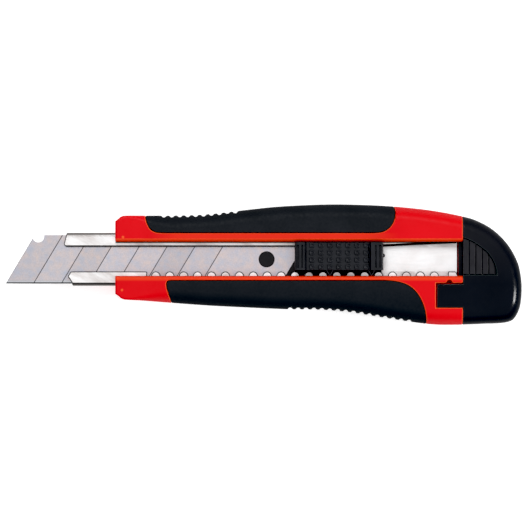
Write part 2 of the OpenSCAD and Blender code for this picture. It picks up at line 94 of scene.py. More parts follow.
UPPER_GRIP_FRONT = [
    (-64.1, 26), (-64.1, 21), (-64.1, 16.5), (-63.6, 13.6), (-62.3, 11.2), (-60.3, 10),
    (-57.5, 9.7), (-54, 9.7),
]
UPPER_GRIP_REAR = [
    (17, 9.7), (20.5, 9.7), (23.8, 10.1), (26.4, 11.6), (28.1, 14.2), (28.6, 17.2),
    (28.2, 19.6), (27.6, 23), (27, 26),
]
LOWER_GRIP_FRONT = [
    (-53.6, -26), (-53.8, -21), (-54.5, -16), (-55.6, -12.6), (-56.3, -9.7), (-55.9, -8.1),
    (-54.4, -7.7), (-52, -7.7),
]
LOWER_GRIP_REAR = [
    (21, -7.7), (24.5, -7.7), (29.4, -8.2), (33.6, -9.7), (36.8, -12.6), (39, -16.8),
    (40, -21), (40.2, -26), (40.2, -31),
]
GRIP_T = 1.5


# ---------- outlines ----------


def curve_point(a, b, c, d, t):
    """A point on the smooth curve between b and c, with a and d as their neighbours."""
    return 0.5 * (
        2 * b + (c - a) * t + (2 * a - 5 * b + 4 * c - d) * t * t + (3 * b - a - 3 * c + d) * t**3
    )


def curve(points, start, stop, steps):
    """The smooth curve from points[start] to points[stop], with their neighbours as a guide."""
    p = [Vector(q) for q in points]
    out = [
        curve_point(p[i - 1], p[i], p[i + 1], p[i + 2], k / steps)
        for i in range(start, stop)
        for k in range(steps)
    ]
    return out + [p[stop]]


STRAIGHT_END = NOSE_ROUND_END + 0.5


def smooth_through(points, steps):
    """The smooth curve through the points; it runs straight between those at the blunt nose."""
    p = [2 * points[0] - points[1], *points, 2 * points[-1] - points[-2]]
    out = []
    for i in range(1, len(p) - 2):
        for k in range(steps):
            t = k / steps
            if p[i + 1].x < STRAIGHT_END:
                out.append(p[i].lerp(p[i + 1], t))
            else:
                out.append(curve_point(p[i - 1], p[i], p[i + 1], p[i + 2], t))
    return out + [p[-2]]


def rounding(x, full):
    """The edge's rounding at x, which grows from the sharp nose to its full size at the grips."""
    t = min(1.0, max(0.0, (x - NOSE_ROUND_END) / (GRIP_ROUND_START - NOSE_ROUND_END)))
    return NOSE_ROUND + (full - NOSE_ROUND) * t * t * (3 - 2 * t)


UNFOLDING_PASSES = 40


def unfolded(outer, inner):
    """The inner line without the folds that it has where the outer line turns tightly."""
    inner = list(inner)
    for _ in range(UNFOLDING_PASSES):
        for i in range(len(inner) - 1):
            if (inner[i + 1] - inner[i]).dot(outer[i + 1] - outer[i]) < 0:
                inner[i] = inner[i + 1] = (inner[i] + inner[i + 1]) / 2
    return inner


def inward(line, i, side):
    """Direction from an outline point into the handle."""
    p, a, b = line[i], line[max(0, i - 1)], line[min(len(line) - 1, i + 1)]
    if i == 0 and p.x < NOSE_X + SAME_PLACE:
        return Vector((1, 0))
    if NOSE_ROUND_END < p.x < SPLIT_X + SAME_PLACE:
        return Vector((0, -side))
    along = (b - a).normalized()
    return side * Vector((along.y, -along.x))


# ---------- meshes ----------


def new_object(name, bm):
    """An object from a bmesh in millimetres, with its faces turned outwards."""
    bmesh.ops.recalc_face_normals(bm, faces=bm.faces)
    mesh = bpy.data.meshes.new(name)
    bm.to_mesh(mesh)
    bm.free()
    obj = bpy.data.objects.new(name, mesh)
    bpy.context.scene.collection.objects.link(obj)
    return obj


def stack(name, rings):
    """A closed solid from rings of points that lie one above another."""
    bm = bmesh.new()
    rows = [[bm.verts.new(p) for p in ring] for ring in rings]
    for low, high in zip(rows, rows[1:]):
        n = len(low)
        for j in range(n):
            bm.faces.new((low[j], low[(j + 1) % n], high[(j + 1) % n], high[j]))
    bm.faces.new(rows[0])
    bm.faces.new(rows[-1])
    return new_object(name, bm)


def prism(points, z0, z1):
    """An upright prism from an outline of (x, y) points."""
    return stack("prism", [[(p[0], p[1], z) for p in points] for z in (z0, z1)])


def box(x0, x1, y0, y1, z0, z1):
    return prism([(x0, y0), (x1, y0), (x1, y1), (x0, y1)], z0, z1)


def along_x(points, x0, x1):
    """A prism along X, from an outline of (y, z) points."""
    return stack("prism", [[(x, p[0], p[1]) for p in points] for x in (x0, x1)])


def circle(x, y, r, count):
    turn = 2 * math.pi / count
    return [(x + r * math.cos(turn * i), y + r * math.sin(turn * i)) for i in range(count)]


def rod(x, y, r, z0, z1, count=32):
    return prism(circle(x, y, r, count), z0, z1)


def envelope(name, start, stop, front_x=-math.inf):
    """The handle's rounded form between two points of its outline, behind front_x."""
    coarse, fine, arc = 2, 4, 9
    loops = []
    for line, side in ((UPPER_LINE, 1), (LOWER_LINE, -1)):
        outer = curve(line, start, stop, coarse)
        inner = [
            p + inward(outer, i, side) * rounding(p.x, EDGE_ROUND) for i, p in enumerate(outer)
        ]
        outer, inner = smooth_through(outer, fine), smooth_through(inner, fine)
        pairs = list(zip(outer, unfolded(outer, inner)))
        loops.append(pairs if side > 0 else pairs[::-1])
    ring = loops[0] + loops[1]
    rings = []
    for part in ("back", "front"):
        for k in range(arc + 1):
            t = math.pi / 2 * k / arc
            keep = 1 - math.sin(t) if part == "back" else 1 - math.cos(t)
            row = []
            for outer, inner in ring:
                p = outer + (inner - outer) * keep
                x = min(max(p.x, front_x, NOSE_X), TAIL_X)
                if part == "back":
                    z = rounding(outer.x, BACK_ROUND) * (1 - math.cos(t))
                else:
                    z = HANDLE_T - rounding(outer.x, FRONT_ROUND) * (1 - math.sin(t))
                row.append((x, min(max(p.y, Y_LOW), Y_HIGH), z))
            rings.append(row)
    return stack(name, rings)


def remove(obj):
    mesh = obj.data
    bpy.data.objects.remove(obj)
    bpy.data.meshes.remove(mesh)


def settle(obj):
    """Applies an object's modifiers."""
    shape = obj.evaluated_get(bpy.context.evaluated_depsgraph_get())
    mesh = bpy.data.meshes.new_from_object(shape)
    obj.modifiers.clear()
    old = obj.data
    obj.data = mesh
    bpy.data.meshes.remove(old)


def combine(obj, operation, *others):
    """Cuts, joins or intersects obj with each of the others in turn, and removes them."""
    for other in others:
        modifier = obj.modifiers.new("combine", "BOOLEAN")
        modifier.operation = operation
        modifier.solver = "EXACT"
        modifier.object = other
        settle(obj)
        remove(other)
    return obj


def cut(obj, *cutters):
    return combine(obj, "DIFFERENCE", *cutters)


SOFT_GRAIN, SOFT_PASSES, SOFT_FACTOR, SOFT_FACES_KEPT = 0.25, 4, 0.5, 0.3


def soften(obj):
    """Remeshes a moulded skin evenly and smooths it, so that its edges come out soft."""
    remesh = obj.modifiers.new("remesh", "REMESH")
    remesh.mode = "VOXEL"
    remesh.voxel_size = SOFT_GRAIN
    smooth = obj.modifiers.new("smooth", "SMOOTH")
    smooth.factor = SOFT_FACTOR
    smooth.iterations = SOFT_PASSES
    obj.modifiers.new("fewer_faces", "DECIMATE").ratio = SOFT_FACES_KEPT
    settle(obj)


def finish_soft_piece(obj, name, node, body, skin):
    """Scales a softened mesh to metres and gives it its place and its finish."""
    obj.data.transform(Matrix.Scale(MM, 4))
    obj.name = obj.data.name = name
    obj.data.shade_smooth()
    set_skins(obj, (skin,))
    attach(obj, body)
    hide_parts(node)


WELD = 0.002  # millimetres: points closer together than this become one
FIN_FACES = 8  # a group of fewer faces than this isn't part of any real form


def fins(bm):
    """The faces that meet the rest only along edges which more than two faces share."""
    seen, out = set(), []
    for start in bm.faces:
        group, queue = [], [start]
        while queue:
            face = queue.pop()
            if face in seen:
                continue
            seen.add(face)
            group.append(face)
            for edge in face.edges:
                if len(edge.link_faces) == 2:
                    queue.extend(edge.link_faces)
        if len(group) < FIN_FACES:
            out += group
    return out


def clean(obj, node):
    """Removes slivers that easing left, and lifts what it pushed below the CAD node's box."""
    bm = bmesh.new()
    bm.from_mesh(obj.data)
    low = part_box(node)[0][2]
    for vertex in bm.verts:
        vertex.co.z = max(vertex.co.z, low)
    bmesh.ops.remove_doubles(bm, verts=bm.verts, dist=WELD * MM)
    bmesh.ops.dissolve_degenerate(bm, edges=bm.edges, dist=WELD * MM)
    bmesh.ops.triangulate(bm, faces=bm.faces)
    bmesh.ops.delete(bm, geom=fins(bm), context="FACES_ONLY")
    loose = [vertex for vertex in bm.verts if not vertex.link_faces]
    bmesh.ops.delete(bm, geom=loose, context="VERTS")
    bm.to_mesh(obj.data)
    bm.free()


FACET, SLIDER_FACET = 30, 40  # edges that turn by more degrees than this are sharp
FLAT_ANGLE = math.radians(0.05)  # faces that turn by less than this are one flat face
LARGEST_FACE_WINS = 100  # the weight at which a corner takes its direction from its largest face


def finish_piece(
    obj, name, node, body, skins, ease, facet=FACET, merge_flats=True, merge=0.02,
    hard_edge=None, gets_highlight=None,
):
    """Cleans a mesh in millimetres, scales it to metres and gives it its place and its finish.

    skins is the material, or the material and the one for its eased edges, which is a painted
    highlight where a second one is given. ease is how wide the eased edges are. merge is how far
    apart two points may be and still become one. hard_edge says which sharp edges are eased, from
    the edge's middle; without it they all are.
    gets_highlight says which faces take the painted highlight material of the eased edges, from
    the face's middle.
    """
    bm = bmesh.new()
    bm.from_mesh(obj.data)
    bmesh.ops.remove_doubles(bm, verts=bm.verts, dist=merge)
    if merge_flats:
        bmesh.ops.dissolve_limit(
            bm, angle_limit=FLAT_ANGLE, verts=bm.verts, edges=bm.edges, delimit={"NORMAL"}
        )
    weight = bm.edges.layers.float.new("bevel_weight_edge")
    for edge in bm.edges:
        sharp = len(edge.link_faces) == 2 and edge.calc_face_angle() > math.radians(facet)
        if sharp and (hard_edge is None or hard_edge((edge.verts[0].co + edge.verts[1].co) / 2)):
            edge[weight] = 1.0
    bmesh.ops.scale(bm, vec=Vector((MM, MM, MM)), verts=bm.verts)
    for face in bm.faces:
        face.smooth = True
        light = gets_highlight is not None and gets_highlight(face.calc_center_median() / MM)
        face.material_index = len(skins) - 1 if light else 0
    set_skins(obj, skins)
    bm.to_mesh(obj.data)
    bm.free()
    obj.name = obj.data.name = name
    obj.data.set_sharp_from_angle(angle=math.radians(facet))
    ease_edges(obj, ease, "WEIGHT", len(skins) - 1)
    settle(obj)
    clean(obj, node)
    flats = obj.modifiers.new("flat_faces_stay_flat", "WEIGHTED_NORMAL")
    flats.keep_sharp = True
    flats.weight = LARGEST_FACE_WINS
    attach(obj, body)
    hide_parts(node)


def set_skins(obj, skins):
    obj.data.materials.clear()
    for skin in skins:
        obj.data.materials.append(skin)


def ease_edges(obj, width, limit, material=0):
    """Eases an object's sharp edges by so many millimetres."""
    bevel = obj.modifiers.new("eased_edges", "BEVEL")
    bevel.width = width * MM
    bevel.segments = 2
    bevel.limit_method = limit
    bevel.angle_limit = math.radians(FACET)
    bevel.use_clamp_overlap = False
    bevel.loop_slide = False
    bevel.harden_normals = True
    bevel.material = material


# ---------- materials ----------


class Finish:
    """A material whose nodes are added one by one. Textures are laid out in metres."""

    def __init__(self, name, colour, roughness, metallic=0.0, specular=0.5):
        self.material = bpy.data.materials.new(name)
        self.material.use_nodes = True
        self.tree = self.material.node_tree
        self.shader = self.tree.nodes["Principled BSDF"]
        self.shader.inputs["Base Color"].default_value = (*colour, 1)
        self.shader.inputs["Roughness"].default_value = roughness
        self.shader.inputs["Metallic"].default_value = metallic
        self.shader.inputs["Specular IOR Level"].default_value = specular
        self.place = self.add("ShaderNodeTexCoord").outputs["Object"]
        self.height = None

    def add(self, kind, inputs=None, **settings):
        node = self.tree.nodes.new(kind)
        for key, value in settings.items():
            setattr(node, key, value)
        for key, value in (inputs or {}).items():
            if isinstance(value, bpy.types.NodeSocket):
                self.tree.links.new(value, node.inputs[key])
            else:
                node.inputs[key].default_value = value
        return node

    def stretched(self, x, y, z, turn=0.0):
        """The place, with each axis scaled, after a turn about Z."""
        turned = self.add(
            "ShaderNodeMapping", {"Vector": self.place, "Rotation": (0, 0, turn)}
        ).outputs["Vector"]
        return self.add("ShaderNodeMapping", {"Vector": turned, "Scale": (x, y, z)}).outputs[
            "Vector"
        ]

    def noise(self, grain, detail=2.0, rough=0.5, at=None):
        """Noise with features about grain millimetres across, or 1 across a stretched place."""
        scale = 1 / (grain * MM) if at is None else 1.0
        return self.add(
            "ShaderNodeTexNoise",
            {"Vector": at or self.place, "Scale": scale, "Detail": detail, "Roughness": rough},
        ).outputs["Fac"]

    def range(self, value, low, high, start=0.3, stop=0.7):
        return self.add(
            "ShaderNodeMapRange",
            {"Value": value, "From Min": start, "From Max": stop, "To Min": low, "To Max": high},
        ).outputs["Result"]

    def axes(self):
        split = self.add("ShaderNodeSeparateXYZ", {"Vector": self.place})
        return split.outputs["X"], split.outputs["Y"], split.outputs["Z"]

    def past(self, value, start, stop):
        """0 up to start millimetres, rising to 1 at stop."""
        return self.range(value, 0, 1, start * MM, stop * MM)

    def short_of(self, value, start, stop):
        """1 up to start millimetres, falling to 0 at stop."""
        return self.range(value, 1, 0, start * MM, stop * MM)

    def tilt(self, start, stop):
        """0 where a face looks straight up or down, rising to 1 as it turns to the side."""
        normal = self.add("ShaderNodeNewGeometry").outputs["Normal"]
        up = self.add("ShaderNodeSeparateXYZ", {"Vector": normal}).outputs["Z"]
        return self.range(self.math("ABSOLUTE", up), 1, 0, stop, start)

    def math(self, operation, a, b=0.0):
        return self.add("ShaderNodeMath", {0: a, 1: b}, operation=operation).outputs["Value"]

    def mix(self, factor, a, b, blend="MIX"):
        node = self.add("ShaderNodeMix", data_type="RGBA", blend_type=blend)
        for index, value in ((0, factor), (6, a), (7, b)):
            if isinstance(value, bpy.types.NodeSocket):
                self.tree.links.new(value, node.inputs[index])
            else:
                node.inputs[index].default_value = value if index == 0 else (*value, 1)
        return node.outputs[2]

    def colour(self, value):
        self.tree.links.new(value, self.shader.inputs["Base Color"])

    def roughness(self, value):
        self.tree.links.new(value, self.shader.inputs["Roughness"])

    def bump(self, value, depth, strength=1.0):
        """Adds relief of so many millimetres over any relief that is there."""
        inputs = {"Height": value, "Distance": depth * MM, "Strength": strength}
        if self.height is not None:
            inputs["Normal"] = self.height
        self.height = self.add("ShaderNodeBump", inputs).outputs["Normal"]
        self.tree.links.new(self.height, self.shader.inputs["Normal"])


THIN_UP, THIN_DOWN = SLOT_UP + 0.3, SLOT_DOWN - 0.7  # the middles of the thin strips
BAR_X, BAR_REACH = -16, (36, 46)  # the bar's middle, and how far from it the bar fades out


def red_plastic(name, dark, light, glow):
    """Red ABS, with a lighter orange glow painted where it is thin beside the slot, standing in
    for light that comes through it.
    """
    f = Finish(name, dark, 0.5, specular=0.22)
    x, y, z = f.axes()
    up = f.math("ABSOLUTE", f.math("SUBTRACT", y, THIN_UP * MM))
    down = f.math("ABSOLUTE", f.math("SUBTRACT", y, THIN_DOWN * MM))
    thin = f.math("MAXIMUM", f.short_of(up, 0.3, 0.9), f.short_of(down, 0.5, 1.3))
    # the bar between the slot and the upper grip is fairly thin over its whole width
    from_middle = f.math("ABSOLUTE", f.math("SUBTRACT", x, BAR_X * MM))
    fairly_thin = f.math("MULTIPLY", f.short_of(up, 2.5, 3.1), 0.5)
    bar = f.math("MULTIPLY", fairly_thin, f.short_of(from_middle, *BAR_REACH))
    above_channel = f.past(z, CHANNEL_TOP, CHANNEL_TOP + 1)
    thin = f.math("MULTIPLY", f.math("MAXIMUM", thin, bar), above_channel)
    plain = f.mix(f.range(f.noise(18, 2), 0, 1), dark, light)
    # painted glow: the thin strips beside the slot and the bar take the glow colour
    f.colour(f.mix(thin, plain, glow))
    f.roughness(f.range(f.noise(1.2, 3), 0.42, 0.58))
    f.bump(f.noise(0.6, 3), 0.003, 0.3)
    return f.material


def soft_grip():
    """Moulded rubber with a fine pebbled grain, and painted shade towards its lower edge."""
    f = Finish("soft_grip_rubber", (0.010, 0.012, 0.015), 0.6, specular=0.2)
    shade = f.range(f.noise(9, 3), 0, 1)
    plain = f.mix(shade, (0.008, 0.010, 0.013), (0.012, 0.014, 0.018))
    y = f.axes()[1]
    painted_shade = f.short_of(y, -17, -7)  # painted shade: darker towards the lower edge, which turns away from the light
    f.colour(f.mix(painted_shade, plain, (0.0035, 0.0062, 0.0100)))
    f.roughness(f.range(f.noise(0.8, 3), 0.52, 0.68))
    grain = f.add(
        "ShaderNodeTexVoronoi", {"Vector": f.place, "Scale": 1 / (0.33 * MM)}, feature="F1"
    ).outputs["Distance"]
    f.bump(grain, 0.018, 0.8)
    f.bump(f.noise(0.14, 2), 0.006, 0.6)
    return f.material


def gloss_black(name, dark, light, upper_sheen):
    """Polished black ABS, with a soft sheen painted lighter towards the upper shoulder."""
    f = Finish(name, dark, 0.16, specular=0.25)
    y = f.axes()[1]
    plain = f.mix(f.range(f.noise(12, 2), 0, 1), dark, light)
    f.colour(f.mix(f.past(y, -9, 9), plain, upper_sheen))
    f.roughness(f.range(f.noise(2.5, 4), 0.13, 0.24))
    wipes = f.noise(1, 3, at=f.stretched(300, 4200, 4200, 0.5))
    f.bump(wipes, 0.002, 0.25)
    f.bump(f.noise(7.0, 1), 0.02, 0.15)
    return f.material


def satin_black(name, colour):
    """Black plastic from a finely eroded mould."""
    f = Finish(name, colour, 0.42, specular=0.25)
    dark = tuple(c * 0.8 for c in colour)
    light = tuple(c * 1.2 for c in colour)
    f.colour(f.mix(f.range(f.noise(3, 3), 0, 1), dark, light))
    f.roughness(f.range(f.noise(0.9, 3), 0.36, 0.5))
    f.bump(f.noise(0.22, 3), 0.008, 0.6)
    return f.material


SCORE_ANGLE = math.radians(59)
SCORE_PITCH = 10.34
SCORE_COUNT = 7
FIRST_SEGMENT = 10.3
BLADE_HALF = 9  # half of the blade's width
FIRST_SCORE_X = TIP_X + BLADE_HALF / math.tan(SCORE_ANGLE) + FIRST_SEGMENT  # at y = 0


def blade_steel():
    """Ground steel under a film of oil. Its score lines are darkened, partly oil and partly
    painted shade; its honed edge has a painted dark reflection; its ground bevel is lighter,
    partly its finer grind and partly a painted reflection.
    """
    f = Finish("blade_steel", (0.55, 0.53, 0.54), 0.4, metallic=1.0)
    x, y, _ = f.axes()
    lean = f.math("MULTIPLY", y, 1 / math.tan(SCORE_ANGLE))
    along = f.math("SUBTRACT", x, lean)
    count = f.math("DIVIDE", f.math("SUBTRACT", along, FIRST_SCORE_X * MM), SCORE_PITCH * MM)
    segment = f.math("FLOOR", f.math("MINIMUM", count, SCORE_COUNT - 1.0))
    tone = f.add("ShaderNodeTexWhiteNoise", {"W": segment}, noise_dimensions="1D").outputs["Value"]
    level = f.range(tone, 0.86, 0.97, 0, 1)
    speck = f.range(f.noise(0.35, 4, 0.7), 0.88, 1.10)
    clouds = f.range(f.noise(3.2, 5, 0.65), 0, 1)
    film = f.mix(clouds, (0.63, 0.54, 0.52), (0.48, 0.50, 0.58))
    # the ground bevel is lighter: partly its finer grind, partly a painted reflection
    ground = f.short_of(y, -7.95, -7.85)
    film = f.mix(ground, film, (0.74, 0.75, 0.79))
    # the score lines are darkened, partly oil in them and partly painted shade
    near = f.math("PINGPONG", count, 0.5)  # 0 on a score line
    score_oil_and_shade = f.range(near, 0.16, 1.0, 0.010, 0.022)
    beyond = f.math("GREATER_THAN", count, SCORE_COUNT - 0.5)
    score_oil_and_shade = f.math("MAXIMUM", score_oil_and_shade, beyond)
    # painted dark reflection: a dark line along the honed edge
    edge = f.range(y, 0.10, 1.0, -8.62 * MM, -8.42 * MM)
    shade = f.math("MULTIPLY", f.math("MULTIPLY", level, speck), f.math("MULTIPLY", score_oil_and_shade, edge))
    grey = f.add("ShaderNodeCombineColor", {"Red": shade, "Green": shade, "Blue": shade})
    f.colour(f.mix(1.0, film, grey.outputs["Color"], "MULTIPLY"))
    grinding = f.noise(1, 4, 0.65, at=f.stretched(9000, 260, 260, -SCORE_ANGLE / 2))
    f.roughness(f.range(grinding, 0.38, 0.55))
    f.bump(grinding, 0.0015, 0.5)
    f.bump(f.noise(2.2, 3), 0.004, 0.4)
    return f.material


LIP_EDGE_Y = 4.67
LIP_TAPER_X, LIP_TAPER = 24.1, 0.0487  # the lip narrows behind this place, at this slope
LIP_SHADE_FRONT, LIP_SHADE_REAR = 0.55, 0.95  # how wide the painted shade along the lip's edge is before and behind that place
LIP_SHADE_COLOUR, WALL_SHADOW_COLOUR = (0.02, 0.017, 0.016), (0.05, 0.022, 0.012)


def channel_steel():
    """Bright plated sheet, with painted dark reflections at its bends and painted shade along the
    plain lip's edge, under the red wall and on faces that turn to the side.
    """
    f = Finish("channel_steel", (0.90, 0.89, 0.89), 0.36, metallic=1.0)
    x, y, z = f.axes()
    shade = f.range(f.noise(6, 4, 0.6), 0, 1)
    face = f.mix(shade, (0.88, 0.86, 0.86), (0.96, 0.96, 0.97))
    # the lips show cloudy streaks of painted sheen; the plate behind the slot is plainer
    on_lip = f.past(f.math("ABSOLUTE", y), 4.3, 4.6)
    clouds = f.range(f.noise(1, 4, 0.6, at=f.stretched(60, 210, 210, 0.5)), 0, 1, 0.42, 0.62)
    face = f.mix(f.math("MULTIPLY", on_lip, clouds), face, (0.66, 0.62, 0.61))
    # painted reflection: the bends are darker, the upper one gradually and the lower one as a
    # black strip
    face = f.mix(f.past(y, 8.2, 9.75), face, (0.20, 0.18, 0.17))
    face = f.mix(f.short_of(y, -8.72, -8.55), face, (0.02, 0.018, 0.018))
    on_top = f.math("GREATER_THAN", z, (CHANNEL_TOP - 1) * MM)
    # painted shadow: a dark brown line where the lip comes out from under the red wall
    covered = f.math("MULTIPLY", f.math("GREATER_THAN", x, NOSE_X * MM), on_top)
    face = f.mix(f.math("MULTIPLY", f.past(y, 5.95, 6.25), covered), face, WALL_SHADOW_COLOUR)
    # painted shade along the plain lip's edge, wider behind the taper
    behind = f.math("MAXIMUM", f.math("SUBTRACT", x, LIP_TAPER_X * MM), 0.0)
    edge = f.math("ADD", f.math("MULTIPLY", behind, LIP_TAPER), LIP_EDGE_Y * MM)
    from_edge = f.math("SUBTRACT", y, edge)
    reach = f.range(x, LIP_SHADE_FRONT * MM, LIP_SHADE_REAR * MM, (LIP_TAPER_X - 1) * MM, LIP_TAPER_X * MM)
    inside = f.math("LESS_THAN", from_edge, reach)
    lip_shade = f.math("MULTIPLY", inside, f.math("GREATER_THAN", from_edge, -0.5 * MM))
    face = f.mix(f.math("MULTIPLY", lip_shade, on_top), face, LIP_SHADE_COLOUR)
    # painted shade: faces that turn to the side, such as the eased edges, are darker
    f.colour(f.mix(f.tilt(0.96, 0.60), face, (0.34, 0.31, 0.30)))
    rolling = f.noise(1, 3, 0.5, at=f.stretched(160, 4200, 4200))
    f.roughness(f.range(rolling, 0.30, 0.44))
    f.bump(rolling, 0.0006, 0.4)
    return f.material


def cut_steel():
    """The sheared edges of the channel, painted near black as shade and dark reflection along the
    cut.
    """
    f = Finish("channel_cut_edge", (0.012, 0.010, 0.010), 0.5, metallic=0.2, specular=0.2)
    f.colour(f.mix(f.range(f.noise(0.8, 3), 0, 1), (0.008, 0.007, 0.007), (0.028, 0.024, 0.024)))
    f.roughness(f.range(f.noise(0.3, 2), 0.42, 0.6))
    f.bump(f.noise(0.15, 2), 0.002, 0.5)
    return f.material


def spring_steel():
    """Dark tempered strip, rolled along its length."""
    f = Finish("spring_steel", (0.05, 0.05, 0.055), 0.3, metallic=0.8)
    rolling = f.noise(1, 3, at=f.stretched(400, 6000, 6000))
    f.colour(f.mix(f.range(rolling, 0, 1), (0.035, 0.035, 0.04), (0.07, 0.07, 0.08)))
    f.roughness(f.range(rolling, 0.2, 0.34))
    f.bump(rolling, 0.001, 0.4)
    return f.material


# ---------- the handle ----------

SEAT_GAP = 0.1
FIT_GAP = 0.15
OVERCUT = 1.0
GROOVE = 0.09  # half of the fine groove between a soft grip and the housing


def grip_outline(front, rear, inset=0.0):
    """Outline of a soft grip, or that outline moved inwards."""
    steps = 6
    points = curve(front, 1, len(front) - 2, steps) + curve(rear, 1, len(rear) - 2, steps)
    if not inset:
        return points
    n = len(points)
    area = sum(
        points[i].x * points[(i + 1) % n].y - points[(i + 1) % n].x * points[i].y for i in range(n)
    )
    turn = 1 if area > 0 else -1
    moved = []
    for i, p in enumerate(points):
        along = (points[(i + 1) % n] - points[i - 1]).normalized()
        moved.append(p + turn * inset * Vector((-along.y, along.x)))
    return moved


def layer(inset, z0, z1):
    """A straight-sided layer inside the handle, under the soft grips."""
    up = curve(UPPER_LINE, SKIN_POINT, SPLIT_POINT, 4)
    down = curve(LOWER_LINE, SKIN_POINT, SPLIT_POINT, 4)
    points = [(p.x, p.y - inset) for p in up] + [(p.x, p.y + inset) for p in reversed(down)]
    return prism(points, z0, z1)


BED_WIDE_IN, BED_LOW, BED_HIGH = GRIP_T + 0.2, BACK_ROUND - 1.2, HANDLE_T - FRONT_ROUND + 2
BED_TALL_IN = GRIP_T + 1.7


def bed(extra=0.0):
    """What lies under the soft grips: a wide layer at mid height within a taller, narrower one."""
    wide = layer(BED_WIDE_IN - extra, BED_LOW - extra, BED_HIGH + extra)
    tall = layer(BED_TALL_IN - extra, GRIP_T - extra, HANDLE_T - GRIP_T + extra)
    return wide, tall


def grip_recess(front, rear):
    return cut(prism(grip_outline(front, rear), -OVERCUT, HANDLE_T + OVERCUT), *bed())


TONGUE_X, TONGUE_UP, TONGUE_DOWN, TONGUE_T, TONGUE_GAP = 44.1, -9.2, -17.85, 2.3, 0.5
NOTCH_X, NOTCH_R = 48.6, 1.1
BACK_CORE = (-8.5, 8.5, 2.2, 5.2)
LOWER_CORE = (-19.6, -12, 3, 10.4)
UPPER_CORE = (11.8, 13.6, 3.4, 11)
BACK_CORE_X, UPPER_CORE_X, LOWER_CORE_X = -58, -24, 12


def channel_slot():
    half = CHANNEL_HALF + SEAT_GAP
    floor, roof = CHANNEL_Z - SEAT_GAP, CHANNEL_TOP + SEAT_GAP
    top = HANDLE_T + OVERCUT
    profile = [
        (-half, floor), (half, floor), (half, roof), (SLOT_UP, roof),
        (SLOT_UP, HANDLE_T - 1.1), (SLOT_UP + 0.8, HANDLE_T), (SLOT_UP + 0.8, top),
        (SLOT_DOWN - 0.5, top), (SLOT_DOWN - 0.5, HANDLE_T), (SLOT_DOWN, HANDLE_T - 0.7),
        (SLOT_DOWN, roof), (-half, roof),
    ]
    return along_x(profile, NOSE_X - OVERCUT, SPLIT_X + OVERCUT)


NOSE_CORNER_X, NOSE_FLAT = -71.5, (-11.9, 13.2)  # the nose is straight between these Y
GATE_MARKS = ((-72.3, 8.2), (-72.7, -11.4))
GATE_R, GATE_MARGIN = 0.5, 0.1


def housing_edge_is_eased(p):
    """Not at the nose's corners, which the envelope rounds itself, nor round a gate mark."""
    if any((p.xy - Vector(mark)).length < GATE_R + GATE_MARGIN for mark in GATE_MARKS):
        return False
    return p.x > NOSE_CORNER_X or NOSE_FLAT[0] < p.y < NOSE_FLAT[1]


def is_gate_mark(p):
    return p.z > HANDLE_T + SAME_PLACE


def gate_mark(x, y):
    """A small raised mark where the mould was filled."""
    rings = []
    for r, h in ((GATE_R, -0.3), (GATE_R, 0.06), (GATE_R - 0.1, 0.09), (GATE_R - 0.3, 0.1)):
        rings.append([(a, b, HANDLE_T + h) for a, b in circle(x, y, r, 20)])
    return stack("gate", rings)


def make_housing(skins):
    end = SPLIT_X + OVERCUT
    lower_core = [
        (LOWER_CORE_X, LOWER_CORE[1]), (LOWER_CORE_X, -14.6), (30, -17.6), (42, LOWER_CORE[0]),
        (end, LOWER_CORE[0]), (end, LOWER_CORE[1]),
    ]
    tongue_floor = HANDLE_T - TONGUE_T - FIT_GAP
    housing = cut(
        envelope("housing_shell", NOSE_POINT, SPLIT_POINT),
        channel_slot(),
        box(BACK_CORE_X, end, *BACK_CORE),
        box(UPPER_CORE_X, end, *UPPER_CORE),
        prism(lower_core, LOWER_CORE[2], LOWER_CORE[3]),
        box(
            TONGUE_X - TONGUE_GAP, end, TONGUE_DOWN - SEAT_GAP, TONGUE_UP + TONGUE_GAP,
            tongue_floor, HANDLE_T + OVERCUT,
        ),
        rod(NOTCH_X, TONGUE_UP + TONGUE_GAP, NOTCH_R, HANDLE_T - TONGUE_T, HANDLE_T + OVERCUT),
        grip_recess(UPPER_GRIP_FRONT, UPPER_GRIP_REAR),
        grip_recess(LOWER_GRIP_FRONT, LOWER_GRIP_REAR),
    )
    combine(housing, "UNION", *[gate_mark(x, y) for x, y in GATE_MARKS])
    # the gate marks take the painted highlight material
    finish_piece(
        housing, "housing_shell", "housing", "handle", skins, 0.28, merge=0.05,
        hard_edge=housing_edge_is_eased, gets_highlight=is_gate_mark,
    )


SCALLOP_PITCH = 2.942
SCALLOP_R = 0.95
SCALLOP_OUT = 0.25  # how far outside the edge their centres lie
UPPER_SCALLOPS, LOWER_SCALLOPS = (-57.25, 10), (-10.35, 16)  # the first one's X, and the count
BED_GAP = 0.02


def scallops(line, side, first_x, count):
    """Rods that cut finger scallops across the edge of a grip."""
    edge = curve(line, SKIN_POINT, SPLIT_POINT, 8)
    rods = []
    for i in range(count):
        x = first_x + SCALLOP_PITCH * i
        y = min(edge, key=lambda p: abs(p.x - x)).y
        rods.append(rod(x, y + side * SCALLOP_OUT, SCALLOP_R, -OVERCUT, HANDLE_T + OVERCUT, 28))
    return rods


def make_grip(name, front, rear, line, side, scallop_row, skin):
    """A soft grip: the handle's form within the grip's outline, without what lies under it."""
    grip = combine(
        envelope(name, NOSE_POINT, SPLIT_POINT),
        "INTERSECT",
        prism(grip_outline(front, rear, GROOVE), -OVERCUT, HANDLE_T + OVERCUT),
    )
    cut(grip, *bed(BED_GAP), *scallops(line, side, *scallop_row))
    soften(grip)
    finish_soft_piece(grip, name + "_skin", name, "handle", skin)


# ---------- the end cap ----------

